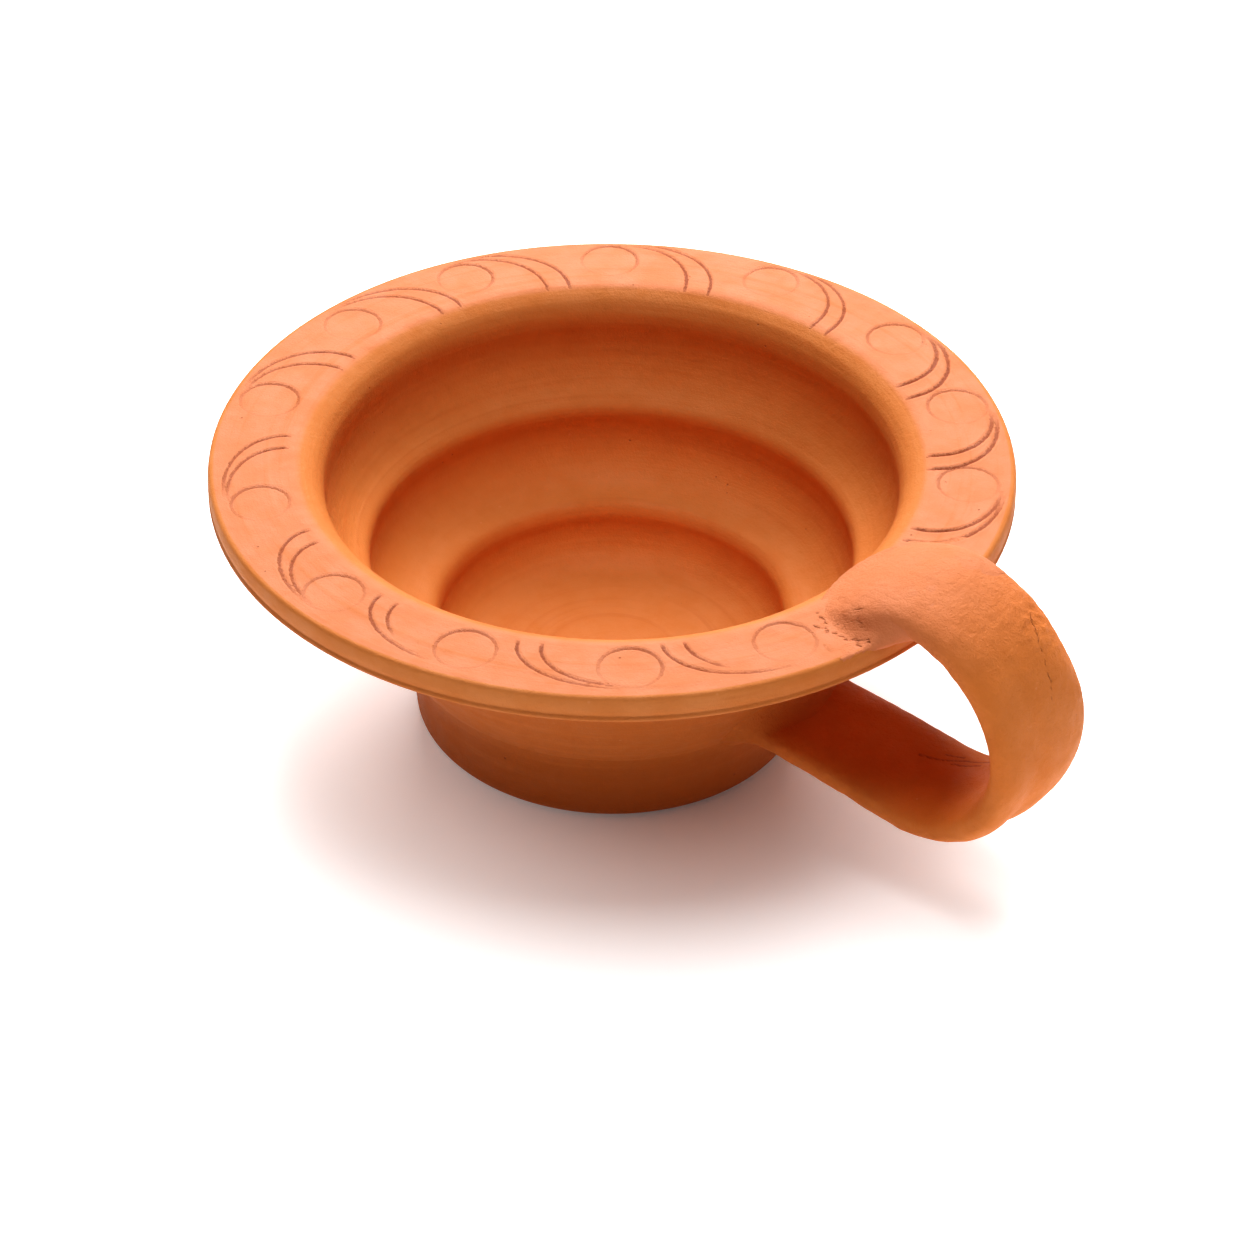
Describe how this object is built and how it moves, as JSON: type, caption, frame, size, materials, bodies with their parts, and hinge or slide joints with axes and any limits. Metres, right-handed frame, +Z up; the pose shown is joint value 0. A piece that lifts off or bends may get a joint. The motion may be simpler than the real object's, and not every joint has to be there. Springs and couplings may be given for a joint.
{
  "type": "diya oil lamp",
  "caption": "Footed terracotta lamp cup with a wide decorated flange, throwing steps inside and one strap handle to carry it by.",
  "frame": {"origin": "centre of the flat face that the foot rests on", "axes": "+Z up along the axis of the thrown cup, +X from the axis towards the handle"},
  "size_m": [0.1536, 0.131, 0.0565],
  "materials": {
    "thrown_clay": "unglazed, wiped smooth on the wheel",
    "strap_clay": "unglazed, finger-pulled, slightly rough",
    "luting_clay": "unglazed, smeared by hand"
  },
  "bodies": {
    "root": {"foot": "thrown_clay", "bowl": "thrown_clay", "strap_handle": "strap_clay", "upper_luting_clay": "luting_clay", "lower_luting_clay": "luting_clay"}
  },
  "joints": []
}
